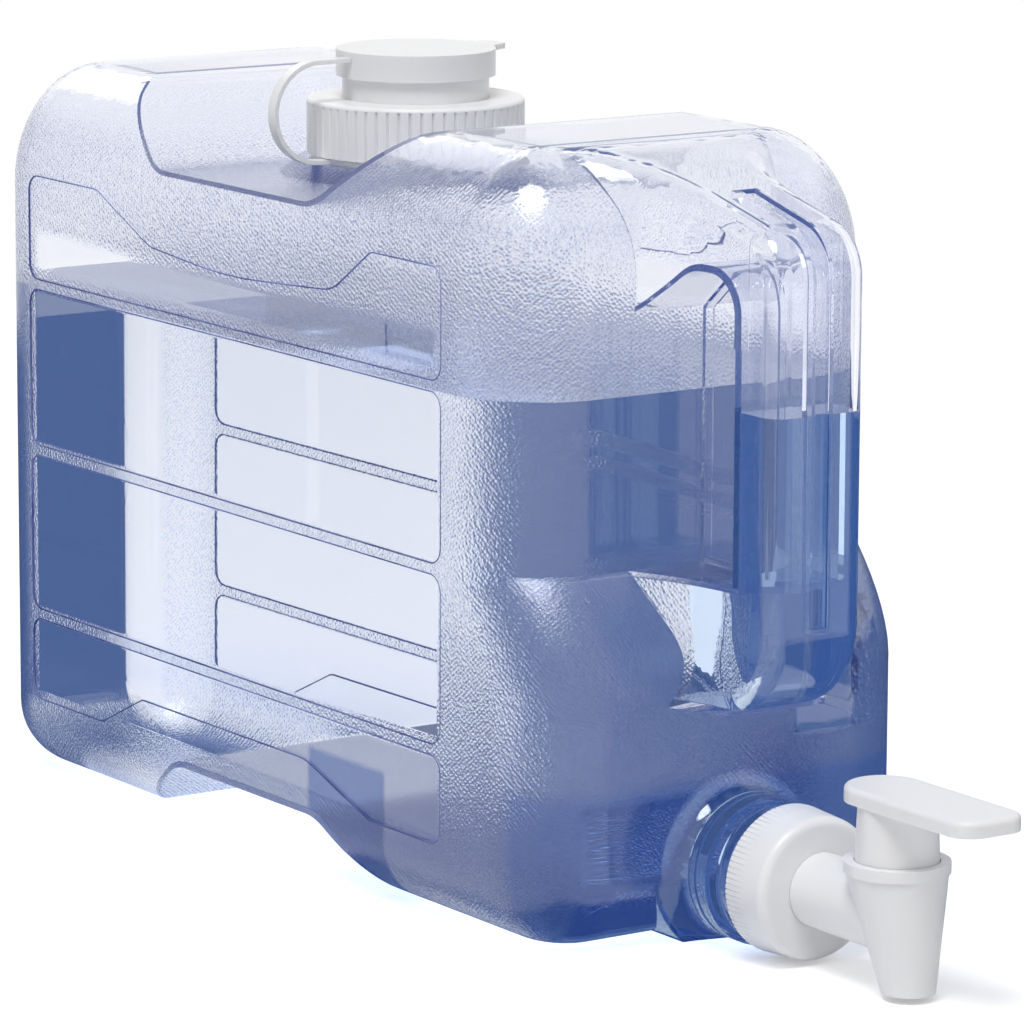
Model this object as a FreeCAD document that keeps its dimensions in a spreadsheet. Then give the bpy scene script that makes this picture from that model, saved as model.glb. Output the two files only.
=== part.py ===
"""Slim countertop water dispenser: a blow-moulded bottle with its own handle, a filler cap and a tap.

The bottle stands on its feet with its tap and handle at the front (-Y). Every size is in
millimetres. The outlines below are drawn with y = 0 at the recessed front wall, and every
finished piece is then moved back by half of what stands before and behind, so that the
origin is under the middle of the whole product.
"""
import FreeCAD
import Part
import Sketcher
import math
import os

V = FreeCAD.Vector
doc = FreeCAD.newDocument("WaterDispenser")
sheet = doc.addObject("Spreadsheet::Sheet", "Dims")

SIZES = [
    ("wall", 1.8, "wall of the blow-moulded bottle"),
    ("body_width", 132.0, "outside width across the flat sides"),
    ("body_rear", 292.5, "outside of the rear wall"),
    ("body_tall", 220.0, "top of the two shoulders"),
    ("front_wall", -1.0, "outside of the recessed front wall behind the handle"),
    ("front_corner", 29.0, "upright front corner radius"),
    ("rear_corner", 30.0, "upright rear corner radius"),
    ("top_roll", 28.0, "how far in the walls roll into the shoulders"),
    ("roll_tall", 37.0, "height of that roll, which is taller than it is wide"),
    ("foot_roll", 20.0, "radius where the walls roll into the feet"),
    ("bulge_deep", 16.0, "how far the lower part of the body stands before the recessed wall"),
    ("bulge_corner", 26.0, "upright front corner radius of the deeper part"),
    ("bulge_start", 72.0, "height where the bulge starts to slope back"),
    ("bulge_end", 104.0, "height of the crease where the bulge meets the recessed wall"),
    ("valley_deep", 23.0, "depth of the valley below the shoulders"),
    ("shoulder_front", 73.0, "length of the front shoulder"),
    ("shoulder_rear", 66.5, "length of the rear shoulder"),
    ("valley_slope_front", 31.0, "length of the slope from the front shoulder to the valley's floor"),
    ("valley_slope_rear", 36.0, "length of the slope from the valley's floor to the rear shoulder"),
    ("valley_bend", 18.0, "bend radius in the valley's outline"),
    ("arch_roof", 19.0, "roof of the arch between the two feet"),
    ("foot_front", 69.0, "length of the front foot behind the recessed wall"),
    ("foot_rear", 86.5, "length of the rear foot"),
    ("arch_slope", 30.0, "length of the slopes from the feet to the arch's roof"),
    ("panel_edge_front", 34.0, "side panels start this far behind the recessed wall"),
    ("panel_edge_rear", 30.5, "side panels end this far before the rear wall"),
    ("panel_deep", 0.7, "how deep the side panels are let in"),
    ("panel_corner", 5.0, "corner radius of the side panels"),
    ("panel_band", 3.2, "band left standing between two panels"),
    ("panel_drop", 32.6, "from the shoulders down to the uppermost panel at its two ends"),
    ("panel_sink", 26.5, "from the valley's floor down to the uppermost panel's dip"),
    ("panel_sag", 3.5, "how much deeper the dip is in its middle than at its two ends"),
    ("panel_turn_front", 3.0, "the uppermost panel turns down this far before the front shoulder's end"),
    ("panel_dip_front", 14.0, "its dip starts this far before the valley's floor"),
    ("panel_turn_rear", 5.0, "it ends its rise this far before the rear shoulder's start"),
    ("panel_slim", 16.5, "least height of the uppermost panel with half its band"),
    ("panel_thin", 15.8, "least height of the lowest panel with half its band"),
    ("panel_foot", 24.0, "bottom of the lowest panel at its two ends"),
    ("panel_rise", 35.2, "bottom of the lowest panel above the arch"),
    ("panel_step_front", 2.0, "the lowest panel starts to rise this far behind the arch's front"),
    ("panel_step_roof", 6.0, "it ends that rise this far behind the front of the arch's roof"),
    ("panel_step_back", 20.0, "it starts to fall this far behind the rear of the arch's roof"),
    ("panel_step_rear", 14.0, "it ends that fall this far behind the arch's rear"),
    ("neck_outside", 28.1, "outside radius of the filler neck over its thread"),
    ("neck_thick", 3.7, "wall of the filler neck with its thread"),
    ("neck_tall", 16.0, "height of the filler neck above the valley's floor"),
    ("pad_foot", 11.9, "how far the raised pad's foot reaches round the neck"),
    ("pad_ledge", 6.9, "how far its flat top reaches round the neck"),
    ("pad_tall", 4.2, "height of the raised pad"),
    ("handle_width", 32.0, "width of the handle's tube"),
    ("handle_thick", 18.0, "depth of the handle's tube from front to back"),
    ("nose_drop", 18.5, "from the shoulders down to the hood's front edge"),
    ("handle_bend", 16.0, "top bend radius"),
    ("handle_bend_low", 26.0, "lower bend radius"),
    ("handle_low", 68.0, "underside of the handle's lower root"),
    ("handle_round", 6.0, "rounding of the handle's long edges"),
    ("groove_wide", 5.0, "width of the groove down the handle's front"),
    ("groove_deep", 2.2, "depth of that groove"),
    ("groove_back", 18.0, "the groove ends this far before the recessed wall, on the hood"),
    ("hood_drop", 0.45, "the hood's top lies this much below the shoulders"),
    ("hood_start", 17.0, "crease where the hood leaves the front shoulder"),
    ("hood_root", 26.4, "where the hood comes out of the shoulder"),
    ("hood_flat", 34.0, "half width of the hood's flat top there"),
    ("hood_round", 23.0, "rounding of the hood's edges there"),
    ("hood_flare", 4.0, "how much wider the hood is at its foot there"),
    ("lap", 0.1, "shapes that grow out of each other overlap by this much"),
    ("finger_deep", 35.0, "finger gap from the front wall to the handle"),
    ("finger_corner", 44.0, "from the shoulders down to the gap's roof at the front wall"),
    ("finger_drop", 30.5, "from the shoulders down to the gap's roof in front"),
    ("finger_slant", 16.0, "length of the sloping part of the gap's roof"),
    ("finger_round", 11.0, "corner radius of the finger gap's roof"),
    ("seam_wide", 3.0, "width of the pinched seam round the finger gap"),
    ("seam_tall", 1.3, "how far that seam stands into the gap"),
    ("root_wide", 26.0, "half width of the handle's root at its top, on the wall"),
    ("root_waist", 17.5, "half width of the root at its waist"),
    ("root_foot", 23.5, "half width of the root at its underside"),
    ("root_waist_high", 11.0, "height of the waist above the underside"),
    ("tap_axis", 21.6, "height of the tap's axis"),
    ("flare_floor", 0.45, "height of the flare's flat underside"),
    ("spigot_outside", 17.2, "outside radius of the threaded spigot"),
    ("spigot_thick", 2.6, "wall of the spigot with its thread"),
    ("spigot_long", 31.0, "length of the spigot before the body"),
    ("flare_long", 6.5, "length of the flare between the body and the spigot's flange"),
    ("flare_wide", 6.5, "how far the flare spreads round the flange"),
    ("flange_stand", 3.8, "how far the flange stands over the thread"),
    ("flange_long", 8.5, "length of the flange along the spigot"),
    ("bead_stand", 2.4, "how far the bead stands over the thread"),
    ("bead_long", 5.0, "from the flange's front to the bead's front"),
    ("ring_thick", 4.1, "how far the screw ring stands round the neck"),
    ("ring_gap", 0.3, "clearance between the screw ring and the strap's collar"),
    ("ring_plate", 2.4, "thickness of the ring's top"),
    ("ring_ribs", 60, "ribs round the ring"),
    ("ring_rib_deep", 0.8, "depth of the notches between the ribs"),
    ("ring_edge", 1.2, "rounding of the ring's top edge"),
    ("seal_thick", 1.6, "thickness of the flat seals"),
    ("spout_inset", 1.7, "how far the pour spout's flange stays inside the neck's outside"),
    ("spout_plate", 1.9, "thickness of that flange"),
    ("spout_outside", 21.7, "outside radius of the pour spout"),
    ("spout_thick", 1.8, "wall of the pour spout"),
    ("spout_tall", 17.1, "height of the pour spout with its flange"),
    ("lid_wall", 1.9, "wall of the lid's skirt with its clearance"),
    ("lid_tall", 7.8, "height of the lid"),
    ("lid_plate", 1.6, "thickness of the lid's top"),
    ("lid_plug", 4.0, "depth of the ring that plugs the spout"),
    ("tab_long", 5.6, "how far the lid's tab stands out"),
    ("tab_wide", 15.0, "width of the tab at the lid"),
    ("strap_wide", 3.8, "width of the strap"),
    ("strap_thick", 1.3, "thickness of the strap"),
    ("strap_out", 26.4, "how far the strap's loop reaches out from the lid"),
    ("collar_thick", 1.3, "thickness of the strap's collar under the ring"),
    ("collar_wide", 2.9, "width of that collar"),
    ("nut_draft", 0.9, "how much slimmer the tap nut is at its front"),
    ("nut_lap", 7.0, "how far the tap nut reaches back over the spigot"),
    ("nut_before", 8.3, "how far the tap nut reaches before the spigot"),
    ("nut_ribs", 84, "fine ribs round the nut"),
    ("nut_rib_deep", 0.45, "depth of the notches between those ribs"),
    ("nut_edge", 2.6, "rounding of the nut's front edge"),
    ("arm_radius", 10.5, "outside radius of the tap's arm"),
    ("arm_bore", 5.6, "bore of the tap's arm"),
    ("arm_long", 42.2, "from the spigot's end to the axis of the tap's barrel"),
    ("flange_play", 0.4, "how much smaller the tap's flange is than the thread"),
    ("arm_flange_thick", 3.2, "thickness of that flange"),
    ("rim_stand", 2.9, "how far the barrel's rim stands round the stem"),
    ("barrel_rise", 15.8, "height of the barrel above the tap's axis"),
    ("rim_tall", 3.2, "height of the barrel's rim"),
    ("rim_step", 0.5, "how far the rim stands over the barrel below it"),
    ("barrel_slant", 5.8, "how far the outlet stands before the barrel's axis"),
    ("outlet_outside", 7.5, "outside radius of the outlet"),
    ("outlet_bore", 5.8, "bore of the outlet"),
    ("outlet_low", 2.0, "lower end of the outlet"),
    ("outlet_long", 8.0, "straight length of the outlet's bore"),
    ("stem_seat", 4.0, "how deep the stem sits in the barrel"),
    ("plug_wide", 9.0, "radius of the plug under the stem"),
    ("plug_taper", 1.2, "how much slimmer the plug is at its lower end"),
    ("plug_reach", 5.6, "how far the plug goes below the tap's axis"),
    ("plug_hollow", 5.0, "radius of the hollow up the plug"),
    ("plug_port", 4.4, "radius of the port across the plug"),
    ("stem_radius", 11.7, "radius of the stem above the barrel"),
    ("stem_draft", 0.8, "how much slimmer the stem is under the lever"),
    ("stem_tall", 15.2, "height of the stem above the barrel"),
    ("lever_thick", 4.6, "thickness of the lever"),
    ("lever_half", 11.3, "half width of the lever"),
    ("lever_behind", 16.7, "how far the lever reaches behind the barrel's axis"),
    ("lever_before", 42.8, "how far the lever reaches before the barrel's axis"),
    ("lever_turn", 7.0, "corner radius of the lever's front end"),
    ("lever_edge", 1.6, "rounding of the lever's edges"),
    ("oring_thick", 0.9, "section radius of the plug's O-ring"),
    ("oring_rise", 7.4, "height of the O-ring above the tap's axis"),
    ("oring_groove", 0.05, "play of the O-ring in its groove"),
    ("running", 0.06, "radial clearance of the turning fits"),
    ("face_gap", 0.1, "clearance between faces that slide past each other"),
]

# places and sizes that follow from the ones above
TIED = [
    ("bulge_front", "front_wall - bulge_deep", "front of the lower, deeper part of the body"),
    ("valley_floor", "body_tall - valley_deep", "floor of the valley"),
    ("valley_front", "front_wall + shoulder_front", "front shoulder ends here"),
    ("valley_front_foot", "valley_front + valley_slope_front", "valley floor starts here"),
    ("valley_rear", "body_rear - shoulder_rear", "rear shoulder starts here"),
    ("valley_rear_foot", "valley_rear - valley_slope_rear", "valley floor ends here"),
    ("arch_front", "front_wall + foot_front", "front foot ends here"),
    ("arch_front_top", "arch_front + arch_slope", "arch roof starts here"),
    ("arch_rear", "body_rear - foot_rear", "rear foot starts here"),
    ("arch_rear_top", "arch_rear - arch_slope", "arch roof ends here"),
    ("panel_front", "front_wall + panel_edge_front", "front edge of the side panels"),
    ("panel_rear", "body_rear - panel_edge_rear", "rear edge of the side panels"),
    ("panel_top", "body_tall - panel_drop", "top of the uppermost panel at its two ends"),
    ("panel_dip", "valley_floor - panel_sink", "top of the uppermost panel below the valley"),
    ("panel_line_one", "panel_dip - panel_slim", "middle of the band under the first panel"),
    ("panel_line_three", "panel_rise + panel_thin", "middle of the band under the third panel"),
    ("panel_line_two", "(panel_line_one + panel_line_three) / 2", "middle of the band between them"),
    ("neck_place", "(valley_front_foot + valley_rear_foot) / 2", "filler axis"),
    ("neck_bore", "neck_outside - neck_thick", "inside radius of the filler neck"),
    ("neck_top", "valley_floor + neck_tall", "top of the filler neck"),
    ("pad_radius", "neck_outside + pad_foot", "foot radius of the raised pad round the neck"),
    ("pad_shoulder", "neck_outside + pad_ledge", "top radius of the raised pad"),
    ("pad_top", "valley_floor + pad_tall", "top of the raised pad"),
    ("handle_back", "front_wall - finger_deep", "back of the handle, facing the fingers"),
    ("handle_front", "handle_back - handle_thick", "front of the handle"),
    ("groove_end", "front_wall - groove_back", "where the groove ends on the hood"),
    ("handle_nose", "body_tall - nose_drop", "height of the hood's front edge"),
    ("finger_low", "bulge_end", "floor of the finger gap"),
    ("finger_wall", "body_tall - finger_corner", "top of the finger gap on the front wall"),
    ("finger_high", "body_tall - finger_drop", "roof of the finger gap"),
    ("finger_peak", "front_wall - finger_slant", "where the gap's roof turns down to the wall"),
    ("spigot_bore", "spigot_outside - spigot_thick", "bore of the spigot"),
    ("spigot_end", "bulge_front - spigot_long", "front end of the spigot"),
    ("spigot_flange", "spigot_outside + flange_stand", "radius of the flange round the spigot"),
    ("spigot_flange_start", "bulge_front - flare_long", "rear face of that flange"),
    ("spigot_flange_end", "spigot_flange_start - flange_long", "front face of that flange"),
    ("spigot_bead", "spigot_outside + bead_stand", "radius of the bead in front of the flange"),
    ("spigot_bead_end", "spigot_flange_end - bead_long", "front of that bead"),
    ("spigot_root", "spigot_flange + flare_wide", "radius where the spigot flares into the wall"),
    ("ring_radius", "neck_outside + ring_thick", "radius over the screw ring's ribs"),
    ("ring_low", "pad_top + collar_thick + ring_gap", "lower edge of the screw ring"),
    ("spout_low", "neck_top + seal_thick", "underside of the pour spout's flange"),
    ("ring_high", "spout_low + spout_plate + face_gap + ring_plate", "top of the screw ring"),
    ("spout_flange", "neck_outside - spout_inset", "radius of the pour spout's flange"),
    ("spout_bore", "spout_outside - spout_thick", "inside radius of the pour spout"),
    ("lid_radius", "spout_outside + lid_wall", "radius of the lid"),
    ("lid_top", "spout_low + spout_tall + face_gap + lid_plate", "top of the lid"),
    ("lid_low", "lid_top - lid_tall", "lower edge of the lid's skirt"),
    ("strap_reach", "lid_radius + strap_out", "furthest point of the strap from the filler axis"),
    ("nut_back", "spigot_flange", "radius of the tap nut at its back"),
    ("nut_front", "nut_back - nut_draft", "radius of the tap nut at its front"),
    ("nut_start", "spigot_end + nut_lap", "back edge of the tap nut"),
    ("nut_end", "spigot_end - nut_before", "front face of the tap nut"),
    ("arm_flange", "spigot_outside - flange_play", "radius of the flange that the nut holds"),
    ("barrel_place", "spigot_end - arm_long", "axis of the tap's barrel"),
    ("barrel_rim", "stem_radius + rim_stand", "radius of the barrel's rim"),
    ("barrel_top", "tap_axis + barrel_rise", "top of the barrel"),
    ("outlet_place", "barrel_place - barrel_slant", "axis of the outlet"),
    ("plug_narrow", "plug_wide - plug_taper", "radius of the plug at its lower end"),
    ("plug_low", "tap_axis - plug_reach", "lower end of the plug"),
    ("stem_neck", "stem_radius - stem_draft", "radius of the stem under the lever"),
    ("lever_low", "barrel_top + stem_tall", "underside of the lever"),
    ("lever_high", "lever_low + lever_thick", "top of the lever"),
    ("lever_rear", "barrel_place + lever_behind", "rear end of the lever"),
    ("lever_tip", "barrel_place - lever_before", "front end of the lever"),
    ("oring_height", "tap_axis + oring_rise", "height of the O-ring"),
]

for row, (alias, value, meaning) in enumerate(SIZES + TIED, start=1):
    sheet.set(f"A{row}", meaning)
    sheet.set(f"B{row}", f"={value}")
    sheet.setAlias(f"B{row}", alias)
doc.recompute()


class Size:
    """A number that remembers the sheet expression which it comes from."""

    def __init__(self, value, text):
        self.value = value
        self.text = text

    def __add__(self, other):
        return Size(self.value + number(other), f"({self.text} + {words(other)})")

    def __sub__(self, other):
        return Size(self.value - number(other), f"({self.text} - {words(other)})")

    def __mul__(self, other):
        return Size(self.value * number(other), f"({self.text} * {words(other)})")

    def __truediv__(self, other):
        return Size(self.value / number(other), f"({self.text} / {words(other)})")

    def __neg__(self):
        return Size(-self.value, f"(-1 * {self.text})")


def number(item):
    return item.value if isinstance(item, Size) else item


def words(item):
    return item.text if isinstance(item, Size) else str(item)


class Dims:
    """Each alias of the sheet as an attribute."""

    def __init__(self):
        for alias, _, _ in SIZES + TIED:
            setattr(self, alias, Size(float(sheet.get(alias)), f"Dims.{alias}"))


class Plain:
    """The same sizes as plain numbers, for shapes made by Part's own functions."""

    def __init__(self):
        for alias, _, _ in SIZES + TIED:
            setattr(self, alias, float(sheet.get(alias)))


D = Dims()
P = Plain()
BACK = (D.body_rear + D.lever_tip) * 0.5
# how soon the bulge, the hood and the handle's root swing out along their length
BULGE_EASE = 1.7
HOOD_EASE = 3.6
ROOT_EASE = 1.4
# how hollow the root's sides and the spigot's flare are
ROOT_HOLLOW = 0.3
FLARE_HOLLOW = 0.68
# places of the hood's sections, from the shoulder to the handle
HOOD_SHARES = (1.0, 0.94, 0.87, 0.79, 0.7, 0.58, 0.42, 0.22, 0.0)
# height of the body's cap against its roll, and width of a notch against its pitch
CAP_SHARE = 1.5
RIB_SHARE = 0.62
ORING_SIDES = 8
# edges are told apart to this many millimetres
CLOSE = 0.015


def upright(a, b):
    """A point of a side-view outline: a is y, b is z."""
    return V(0, a, b)


def level(a, b):
    """A point of a plan outline: a is x, b is y."""
    return V(a, b, 0)


def facing(y):
    """Points of a front-view outline at depth y: a is x, b is z."""
    return lambda a, b: V(a, y, b)


def outline(corners, place):
    """Closed wire through corners (a, b, radius), each corner rounded by a true arc."""
    edges = []
    starts = []
    ends = []
    arcs = []
    count = len(corners)
    for i, (a, b, radius) in enumerate(corners):
        here = place(a, b)
        before = place(*corners[i - 1][:2]) - here
        after = place(*corners[(i + 1) % count][:2]) - here
        if radius <= 0:
            starts.append(here)
            ends.append(here)
            arcs.append(None)
            continue
        half = before.getAngle(after) / 2
        before.normalize()
        after.normalize()
        run = radius / math.tan(half)
        split = before + after
        split.normalize()
        middle = here + split * (radius / math.sin(half) - radius)
        starts.append(here + before * run)
        ends.append(here + after * run)
        arcs.append(Part.Arc(starts[-1], middle, ends[-1]).toShape())
    for i in range(count):
        if arcs[i] is not None:
            edges.append(arcs[i])
        edges.append(Part.LineSegment(ends[i], starts[(i + 1) % count]).toShape())
    return Part.Wire(edges)


def slab(wire, travel):
    return Part.Face(wire).extrude(travel)


def across(wire, half):
    """Solid of a side-view outline, as wide as twice the half width."""
    solid = slab(wire, V(2 * half, 0, 0))
    solid.translate(V(-half, 0, 0))
    return solid


def edges_at(shape, height):
    return [e for e in shape.Edges if abs(e.BoundBox.ZMin - height) < CLOSE and e.BoundBox.ZLength < CLOSE]


def rounded_prism(front, corner, low, high, inset):
    """Upright prism on the bottle's plan outline, drawn in by the inset."""
    return slab(plan_outline(front, corner, low, inset), V(0, 0, high - low))


def upper_body(inset):
    """The recessed upper part, whose roll into the top is taller than it is wide."""
    roll = P.top_roll - inset
    stretch = (P.roll_tall - inset) / roll
    tall = roll * CAP_SHARE
    cap = rounded_prism(P.front_wall, P.front_corner, 0, tall, inset)
    cap = cap.makeFillet(roll, edges_at(cap, tall))
    scaling = FreeCAD.Matrix()
    scaling.scale(V(1, 1, stretch))
    cap = cap.transformGeometry(scaling)
    seam = P.body_tall - inset - tall * stretch
    cap.translate(V(0, 0, seam))
    return cap.fuse(rounded_prism(P.front_wall, P.front_corner, P.bulge_end, seam, inset))


def bulge_at(share):
    """Front face and corner radius of the bulge, at a share of the way up its slope."""
    ease = max(0, share) ** BULGE_EASE
    front = P.bulge_front + (P.front_wall - P.bulge_front) * ease
    return front, P.bulge_corner + (P.front_corner - P.bulge_corner) * ease


def plan_outline(front, corner, height, inset):
    """The bottle's plan outline at one height, drawn in by the inset."""
    half = P.body_width / 2 - inset
    near = front + inset
    far = P.body_rear - inset
    plan = outline([
        (-half, near, corner - inset),
        (half, near, corner - inset),
        (half, far, P.rear_corner - inset),
        (-half, far, P.rear_corner - inset),
    ], level)
    plan.translate(V(0, 0, height))
    return plan


def lower_body(inset):
    """The deeper lower part, which eases back to the recessed wall and ends at a crease."""
    prism = rounded_prism(P.bulge_front, P.bulge_corner, inset, P.bulge_start, inset)
    prism = prism.makeFillet(P.foot_roll - inset, edges_at(prism, inset))
    sections = []
    for share in (0.0, 0.25, 0.5, 0.75, 1.0):
        front, corner = bulge_at(share)
        height = P.bulge_start + (P.bulge_end - P.bulge_start) * share
        sections.append(plan_outline(front, corner, height, inset))
    return prism.fuse(Part.makeLoft(sections, True, False))


def valley(inset):
    """What the valley between the shoulders takes away."""
    spare = P.body_tall + P.top_roll
    profile = outline([
        (P.valley_front - P.top_roll, P.body_tall, 0),
        (P.valley_front, P.body_tall, P.valley_bend),
        (P.valley_front_foot, P.valley_floor, P.valley_bend),
        (P.valley_rear_foot, P.valley_floor, P.valley_bend),
        (P.valley_rear, P.body_tall, P.valley_bend),
        (P.valley_rear + P.top_roll, P.body_tall, 0),
        (P.valley_rear + P.top_roll, spare, 0),
        (P.valley_front - P.top_roll, spare, 0),
    ], upright)
    if inset:
        profile = profile.makeOffset2D(inset, 2)
    return across(profile, P.body_width)


def arch(inset):
    """What the arch between the two feet takes away."""
    spare = -P.foot_roll
    profile = outline([
        (P.arch_front - P.foot_roll, 0, 0),
        (P.arch_front, 0, P.valley_bend),
        (P.arch_front_top, P.arch_roof, P.valley_bend),
        (P.arch_rear_top, P.arch_roof, P.valley_bend),
        (P.arch_rear, 0, P.valley_bend),
        (P.arch_rear + P.foot_roll, 0, 0),
        (P.arch_rear + P.foot_roll, spare, 0),
        (P.arch_front - P.foot_roll, spare, 0),
    ], upright)
    if inset:
        profile = profile.makeOffset2D(inset, 2)
    return across(profile, P.body_width)


def handle_outline(inset):
    """Side view of the hood's middle, the handle and its lower root, as one closed line."""
    root = P.hood_start + P.top_roll
    profile = outline([
        (root, P.body_tall - P.hood_drop, 0),
        (P.hood_start, P.body_tall - P.hood_drop, 0),
        (P.handle_front, P.handle_nose, P.handle_bend),
        (P.handle_front, P.handle_low, P.handle_bend_low),
        (root, P.handle_low, 0),
    ], upright)
    if inset:
        profile = profile.makeOffset2D(-inset, 2)
    return profile


def handle_tube(inset):
    half = P.handle_width / 2 - inset
    tube = across(handle_outline(inset), half)
    front = [e for e in tube.Edges if e.BoundBox.XLength < CLOSE and e.BoundBox.YMin < P.hood_start - P.top_roll]
    return tube.makeFillet(P.handle_round - inset, front)


def hood_section(y, half_top, half_low, top, corner):
    low = P.finger_wall - P.handle_round
    return outline([
        (-half_low, low, 0),
        (half_low, low, 0),
        (half_top, top, corner),
        (-half_top, top, corner),
    ], facing(y))


def hood(inset):
    """The prow that narrows from the front shoulder to the handle."""
    flat = P.handle_width / 2 - P.handle_round
    fall = (P.body_tall - P.handle_nose) / (P.hood_start - P.handle_front)
    end = P.handle_back - P.handle_round
    sections = []
    for share in HOOD_SHARES:
        y = end + (P.hood_root - end) * share
        ease = share ** HOOD_EASE
        corner = P.handle_round + (P.hood_round - P.handle_round) * ease - inset
        half = flat + (P.hood_flat - flat) * ease + P.lap + corner
        top = P.body_tall - P.hood_drop - fall * max(0, P.hood_start - y) + P.lap - inset
        sections.append(hood_section(y, half, half + P.hood_flare * share, top, corner))
    return Part.makeLoft(sections, True, False)


def root_half(height):
    """Half width of the handle's root where it meets the body, which has a waist."""
    waist = P.handle_low + P.root_waist_high
    if height < waist:
        share = (waist - height) / P.root_waist_high
        return P.root_waist + (P.root_foot - P.root_waist) * share ** ROOT_EASE
    share = (height - waist) / (P.finger_low - waist)
    return P.root_waist + (P.root_wide - P.root_waist) * share ** ROOT_EASE


def root_section(height, inset):
    """Plan outline of the handle's root at one height, hollowed where it joins the body."""
    tube = P.handle_width / 2 - inset
    wide = root_half(height) - inset
    deep = P.front_wall + P.foot_roll
    slope = (height - P.bulge_start) / (P.bulge_end - P.bulge_start)
    wall = bulge_at(min(slope, 1))[0]
    front = P.handle_back + inset
    middle = (tube + (wide - tube) * ROOT_HOLLOW, (wall + front) / 2)
    corners = [(wide, deep), (wide, wall), middle, (tube, front)]
    right = [V(x, y, height) for x, y in corners]
    left = [V(-x, y, height) for x, y in corners]
    return Part.Wire([
        Part.LineSegment(right[0], right[1]).toShape(),
        Part.Arc(right[1], right[2], right[3]).toShape(),
        Part.LineSegment(right[3], left[3]).toShape(),
        Part.Arc(left[3], left[2], left[1]).toShape(),
        Part.LineSegment(left[1], left[0]).toShape(),
        Part.LineSegment(left[0], right[0]).toShape(),
    ])


def handle_root(inset):
    """The waisted block that carries the handle on the lower front wall."""
    low = P.handle_low + inset
    waist = P.handle_low + P.root_waist_high
    high = P.finger_low + P.handle_round
    heights = [low, (low + waist) / 2, waist, (waist + P.finger_low) / 2, P.finger_low, high]
    return Part.makeLoft([root_section(height, inset) for height in heights], True, False)


def finger_outline(inset):
    """Side view of the gap that the fingers reach through, grown by the inset."""
    profile = outline([
        (P.front_wall, P.finger_low, 0),
        (P.front_wall, P.finger_wall, 0),
        (P.finger_peak, P.finger_high, P.finger_round),
        (P.handle_back, P.finger_high, P.finger_round),
        (P.handle_back, P.finger_low, 0),
    ], upright)
    if inset:
        profile = profile.makeOffset2D(inset, 2)
    return profile


def finger_gap(inset):
    """What the fingers reach through, right across the product."""
    return across(finger_outline(inset), P.body_width)


def finger_seam():
    """The pinched seam of the blown wall, which stands up all round the finger gap."""
    band = across(finger_outline(P.wall / 2), P.seam_wide / 2)
    return band.cut(across(finger_outline(-P.seam_tall), P.seam_wide))


def handle_groove(inset):
    """The narrow groove down the middle of the handle's front."""
    outer = across(handle_outline(0), P.groove_wide / 2 + inset)
    core = across(handle_outline(P.groove_deep + inset), P.body_width)
    begin = V(-P.body_width / 2, P.handle_front - P.wall, P.handle_low + P.handle_bend_low - inset)
    window = Part.makeBox(P.body_width, P.groove_end + inset - begin.y, P.body_tall, begin)
    return outer.cut(core).common(window)


def filler_neck(radius, low, high):
    return Part.makeCylinder(radius, high - low, V(0, P.neck_place, low))


def tap_stage(radius, begin, end):
    """A cylinder along the tap's axis, from begin forward to end."""
    return Part.makeCylinder(radius, begin - end, V(0, begin, P.tap_axis), V(0, -1, 0))


def spigot_root(inset):
    """The hollowed flare that carries the spigot on the wall, cut flat above the feet."""
    wide = P.spigot_root - inset
    start = P.bulge_front + inset + P.lap
    end = P.spigot_flange_start
    narrow = P.spigot_bead - inset
    middle = (start * FLARE_HOLLOW + end * (1 - FLARE_HOLLOW), narrow + (wide - narrow) * (1 - FLARE_HOLLOW))

    def rim(y, radius):
        return V(0, y, P.tap_axis + radius)

    profile = Part.Wire([
        Part.LineSegment(rim(start, 0), rim(start, wide)).toShape(),
        Part.Arc(rim(start, wide), rim(*middle), rim(end, narrow)).toShape(),
        Part.LineSegment(rim(end, narrow), rim(end, 0)).toShape(),
        Part.LineSegment(rim(end, 0), rim(start, 0)).toShape(),
    ])
    flare = Part.Face(profile).revolve(rim(0, 0), V(0, 1, 0), 360)
    solid = flare.fuse(tap_stage(wide, P.bulge_front + P.foot_roll, start))
    floor = Part.makeBox(P.body_width, P.body_width, P.foot_roll,
                         V(-P.body_width / 2, P.foot_roll - P.body_width, P.flare_floor + inset - P.foot_roll))
    return solid.cut(floor)


def spigot():
    """The front neck with its flare, flange and bead."""
    bead_start = (P.spigot_flange_end + P.spigot_bead_end) / 2
    return spigot_root(0).fuse([
        tap_stage(P.spigot_flange, P.spigot_flange_start, P.spigot_flange_end),
        tap_stage(P.spigot_outside, P.spigot_flange_end, P.spigot_end),
        tap_stage(P.spigot_bead, bead_start, P.spigot_bead_end),
    ])


def spigot_hollow():
    """The spigot's hollow, which follows the flare and the flange as a blown wall does."""
    middle = (P.spigot_flange_start + P.spigot_flange_end) / 2
    return spigot_root(P.wall).fuse([
        tap_stage(P.spigot_bead - P.wall, P.spigot_flange_start + P.lap, middle),
        tap_stage(P.spigot_flange - P.wall, P.spigot_flange_start - P.wall, P.spigot_flange_end + P.wall),
        tap_stage(P.spigot_bore, P.bulge_front, P.spigot_end),
    ])


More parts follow.
